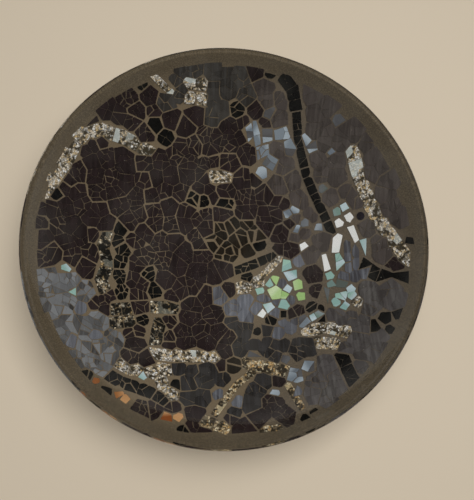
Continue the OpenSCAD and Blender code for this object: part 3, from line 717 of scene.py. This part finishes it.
# Each group of tesserae: material slot, material, size of its crumbs and width of its cracks in
# millimetres, and how far a crumb may lean, as a slope. The order sets each group's random draws.
GROUPS = {
    "aubergine_floor_tesserae": ("aubergine_glass", aubergine, 5.6, 0.3, 0.01),
    "aubergine_wall_tesserae": ("aubergine_glass", aubergine, 5.2, 0.4, 0.01),
    "umber_tesserae": ("umber_glass", umber, 6.5, 1.4, 0.01),
    "smoke_left_tesserae": ("smoke_glass", grey_smoke, 5.2, 0.5, 0.02),
    "smoke_front_tesserae": ("smoke_glass", dim_smoke, 6.0, 0.45, 0.02),
    "smoke_right_tesserae": ("smoke_glass", mauve_smoke, 6.0, 0.35, 0.02),
    "smoke_back_tesserae": ("smoke_glass", back_smoke, 5.5, 0.4, 0.02),
    "mauve_tesserae": ("mauve_glass", mauve, 6.5, 0.3, 0.01),
    "lilac_tesserae": ("lilac_glass", lilac, 7.0, 0.3, 0.02),
    "black_stripe": ("black_glass", black, 5.5, 0.4, 0.01),
    "black_bar": ("black_glass", black, 5.5, 0.5, 0.01),
    "black_left_tesserae": ("black_glass", black, 5.0, 0.5, 0.01),
    "black_front_tesserae": ("black_glass", black, 5.0, 0.6, 0.01),
    "black_right_tesserae": ("black_glass", black, 5.5, 0.4, 0.03),
    "black_centre_tesserae": ("black_glass", black, 5.0, 0.5, 0.01),
    "black_back_tesserae": ("black_glass", black, 5.0, 0.7, 0.01),
    "foil_left_swoosh": ("silver_foil_glass", tailed_silver, 4.5, 0.1, 0.02),
    "foil_right_swoosh": ("silver_foil_glass", silver, 4.5, 0.1, 0.02),
    "foil_front_band": ("silver_foil_glass", silver, 4.5, 0.1, 0.02),
    "foil_column": ("silver_foil_glass", dark_silver, 4.5, 0.3, 0.02),
    "foil_right_patch": ("silver_foil_glass", silver, 4.5, 0.2, 0.02),
    "foil_centre_patch": ("silver_foil_glass", silver, 4.5, 0.1, 0.02),
    "foil_back_patch": ("silver_foil_glass", silver, 4.5, 0.1, 0.02),
    "foil_front_lines": ("gold_foil_glass", gold, 4.5, 0.3, 0.02),
    "mirror_tesserae": ("mirror_white_glass", mirror, 9.0, 0.3, 0.03),
    "mint_tesserae": ("mint_glass", mint, 6.5, 0.4, 0.03),
    "green_tesserae": ("green_glass", green, 8.0, 0.4, 0.03),
    "ice_blue_tesserae": ("ice_blue_glass", ice_blue, 6.0, 0.4, 0.03),
    "amber_tesserae": ("amber_glass", amber, 6.0, 0.3, 0.03),
}
for seed, (node, (slot, material, size, crack, tilt)) in enumerate(GROUPS.items()):
    rounding = SHARD_ROUNDING if tilt > CRUMB_TILT else CRUMB_ROUNDING
    mosaic(node, slot, material, size * MM, crack * MM, tilt, rounding, seed)
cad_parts["dark_cabochon"].data.materials.clear()
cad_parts["dark_cabochon"].data.materials.append(violet)

# The photographed view, fitted to the rim's outline with the range taken as 450 mm: the camera's
# place over the rim, what it aims at, and its lens
VIEW_TILT = math.radians(11.39)
VIEW_TURN = math.radians(-13.21)
VIEW_RANGE = 450 * MM
AIM = Vector((6.72 * MM, -9.02 * MM, LIP_Z))
FRAME_PIXELS = 500
FOCAL_PIXELS = 603.9
SENSOR_MM = 36


def make_camera():
    """The camera at the photograph's angle, with the bowl's back at the top of the picture."""
    data = bpy.data.cameras.new("view")
    data.sensor_width = SENSOR_MM
    data.lens = FOCAL_PIXELS / FRAME_PIXELS * SENSOR_MM
    camera = bpy.data.objects.new("view", data)
    bpy.context.scene.collection.objects.link(camera)
    place = Vector((0, 0, LIP_Z)) + VIEW_RANGE * Vector((
        math.sin(VIEW_TILT) * math.sin(VIEW_TURN),
        -math.sin(VIEW_TILT) * math.cos(VIEW_TURN),
        math.cos(VIEW_TILT),
    ))
    ahead = (AIM - place).normalized()
    right = ahead.cross(Vector((0, 1, 0))).normalized()
    up = right.cross(ahead)
    camera.matrix_world = Matrix.Translation(place) @ Matrix((right, up, -ahead)).transposed().to_4x4()
    bpy.context.scene.camera = camera


FLOOR_SIZE = 6
FLOOR_DROP = 0.1 * MM


def make_floor():
    """A plain pale floor, which isn't part of the bowl."""
    bpy.ops.mesh.primitive_plane_add(size=FLOOR_SIZE)
    floor = bpy.context.active_object
    floor.name = "floor"
    # A hair under the bowl's foot, so that the two faces don't meet
    floor.location.z = -FLOOR_DROP
    material, tree, output = new_material("plain_pale_floor")
    body = add(tree, "BsdfPrincipled", {"Base Color": linear("#d6c8b2"), "Roughness": 0.9, "IOR": 1.2})
    tree.links.new(body.outputs[0], output.inputs["Surface"])
    floor.data.materials.append(material)


# The studio is a dim room with one pale wall, on the left and towards the front
PALE_WAY = Vector((-0.87, -0.49, 0))


def make_world():
    """Even soft light that is stronger from the pale wall and near the horizon."""
    world = bpy.data.worlds.new("soft_studio")
    bpy.context.scene.world = world
    world.use_nodes = True
    tree = world.node_tree
    tree.nodes.clear()
    way = add(tree, "TexCoord").outputs["Generated"]
    level_way = add(tree, "VectorMath", {0: way, 1: (1, 1, 0)}, operation="MULTIPLY")
    compass = add(tree, "VectorMath", {0: level_way.outputs[0]}, operation="NORMALIZE")
    facing = add(tree, "VectorMath", {0: compass.outputs[0], 1: PALE_WAY}, operation="DOT_PRODUCT")
    across = add(tree, "MapRange", {
        "Value": facing.outputs["Value"], "From Min": 0.6, "From Max": 0.82, "To Min": 0.0, "To Max": 1.0,
    }, interpolation_type="SMOOTHSTEP")
    height = add(tree, "SeparateXYZ", {0: way})
    below = add(tree, "MapRange", {
        "Value": height.outputs["Z"], "From Min": 0.76, "From Max": 0.88, "To Min": 1.0, "To Max": 0.0,
    }, interpolation_type="SMOOTHSTEP")
    wall = add(tree, "Math", {0: across.outputs[0], 1: below.outputs[0]}, operation="MULTIPLY")
    wall_level = add(tree, "MapRange", {
        "Value": wall.outputs[0], "From Min": 0.0, "From Max": 1.0, "To Min": 0.06, "To Max": 0.11,
    })
    horizon_level = add(tree, "MapRange", {
        "Value": height.outputs["Z"], "From Min": 0.02, "From Max": 0.3, "To Min": 0.4, "To Max": 0.0,
    }, interpolation_type="SMOOTHSTEP")
    level = add(tree, "Math", {0: wall_level.outputs[0], 1: horizon_level.outputs[0]}, operation="MAXIMUM")
    light = add(tree, "Background", {"Color": linear("#fffaf4"), "Strength": level.outputs[0]})
    output = add(tree, "OutputWorld")
    tree.links.new(light.outputs[0], output.inputs["Surface"])


def add_lamp(name, place, aim, size, power):
    """A square soft box, hidden from reflections so that it leaves no bright patch on the glass."""
    data = bpy.data.lights.new(name, "AREA")
    data.size = size
    data.energy = power
    lamp = bpy.data.objects.new(name, data)
    lamp.location = place
    lamp.rotation_euler = (aim - place).to_track_quat("-Z", "Y").to_euler()
    lamp.visible_glossy = False
    lamp.visible_transmission = False
    bpy.context.scene.collection.objects.link(lamp)


make_camera()
make_floor()
make_world()
# One soft box 1.3 m up, 0.9 m wide, of 16 W, a little to the right and the back
LAMP_PLACE = Vector((0.15, 0.08, 1.3))
LAMP_SIZE = 0.9
LAMP_POWER = 16
bowl_middle = Vector((0, 0, RIM_Z / 2))
add_lamp("overhead_soft_box", LAMP_PLACE, bowl_middle, LAMP_SIZE, LAMP_POWER)

scene = bpy.context.scene
scene.view_settings.view_transform = "Standard"
